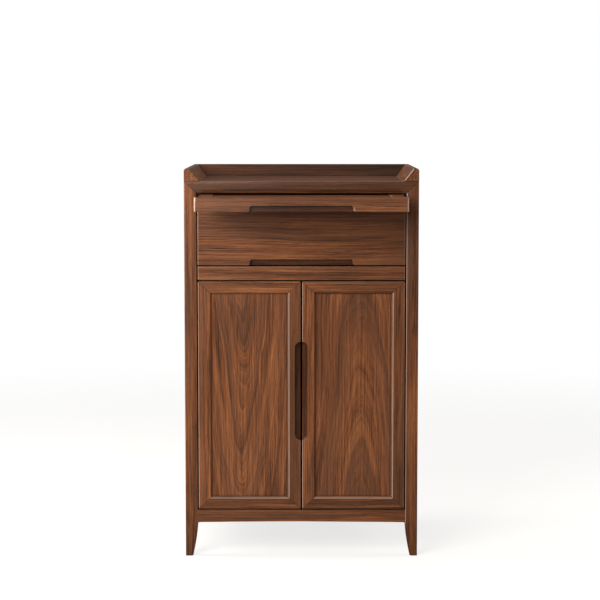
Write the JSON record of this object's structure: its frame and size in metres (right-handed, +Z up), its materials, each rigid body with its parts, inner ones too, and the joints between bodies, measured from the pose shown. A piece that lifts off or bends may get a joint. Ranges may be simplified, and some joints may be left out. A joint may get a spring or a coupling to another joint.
{
  "type": "household altar cabinet",
  "caption": "Walnut altar cabinet with a gallery top, pull-out offering tray, drawer and two panelled doors on tapered legs.",
  "frame": {"origin": "on the floor, at the middle of the whole footprint with the drawn-out tray counted in", "axes": "+Z up, +X to the right of a viewer facing the doors, -Y towards that viewer"},
  "size_m": [0.6, 0.549, 1.004],
  "materials": {
    "walnut": "satin clear lacquer on solid walnut",
    "walnut_panel": "satin clear lacquer on figured walnut boards",
    "walnut_inner": "plainer oiled wood inside"
  },
  "bodies": {
    "cabinet": {"back_bottom_rail": "walnut", "back_panel": "walnut_panel", "back_top_rail": "walnut", "bottom_front_rail": "walnut", "cupboard_floor": "walnut_inner", "drawer_bearer_board": "walnut_inner", "drawer_left_guide": "walnut_inner", "drawer_right_guide": "walnut_inner", "front_left_post": "walnut", "front_right_post": "walnut", "gallery_back": "walnut", "gallery_left": "walnut", "gallery_right": "walnut", "left_side_bottom_rail": "walnut", "left_side_panel": "walnut_panel", "left_side_top_rail": "walnut", "middle_rail": "walnut", "rear_left_post": "walnut", "rear_right_post": "walnut", "right_side_bottom_rail": "walnut", "right_side_panel": "walnut_panel", "right_side_top_rail": "walnut", "tabletop": "walnut_panel", "top_front_rail": "walnut", "tray_left_runner": "walnut_inner", "tray_right_runner": "walnut_inner"},
    "tray": {"tray_front": "walnut", "tray_left_stile": "walnut", "tray_right_stile": "walnut", "tray_back_rail": "walnut", "tray_panel": "walnut_panel"},
    "drawer": {"drawer_front": "walnut", "drawer_left_side": "walnut_inner", "drawer_right_side": "walnut_inner", "drawer_back": "walnut_inner", "drawer_bottom": "walnut_inner"},
    "left_door": {"left_door_bottom_rail": "walnut", "left_door_hinge_stile": "walnut", "left_door_panel": "walnut_panel", "left_door_pull_stile": "walnut", "left_door_top_rail": "walnut"},
    "right_door": {"right_door_bottom_rail": "walnut", "right_door_hinge_stile": "walnut", "right_door_panel": "walnut_panel", "right_door_pull_stile": "walnut", "right_door_top_rail": "walnut"}
  },
  "joints": [
    {"name": "tray_slide", "type": "slide", "parent": "cabinet", "child": "tray", "axis": [0, -1, 0], "range_m": [-0.15, 0.09]},
    {"name": "drawer_slide", "type": "slide", "parent": "cabinet", "child": "drawer", "axis": [0, -1, 0], "range_m": [0, 0.24]},
    {"name": "left_door_hinge", "type": "hinge", "parent": "cabinet", "child": "left_door", "pos_m": [-0.2575, -0.1205, 0.41925], "axis": [0, 0, -1], "range_deg": [0, 105]},
    {"name": "right_door_hinge", "type": "hinge", "parent": "cabinet", "child": "right_door", "pos_m": [0.2575, -0.1205, 0.41925], "axis": [0, 0, 1], "range_deg": [0, 105]}
  ]
}
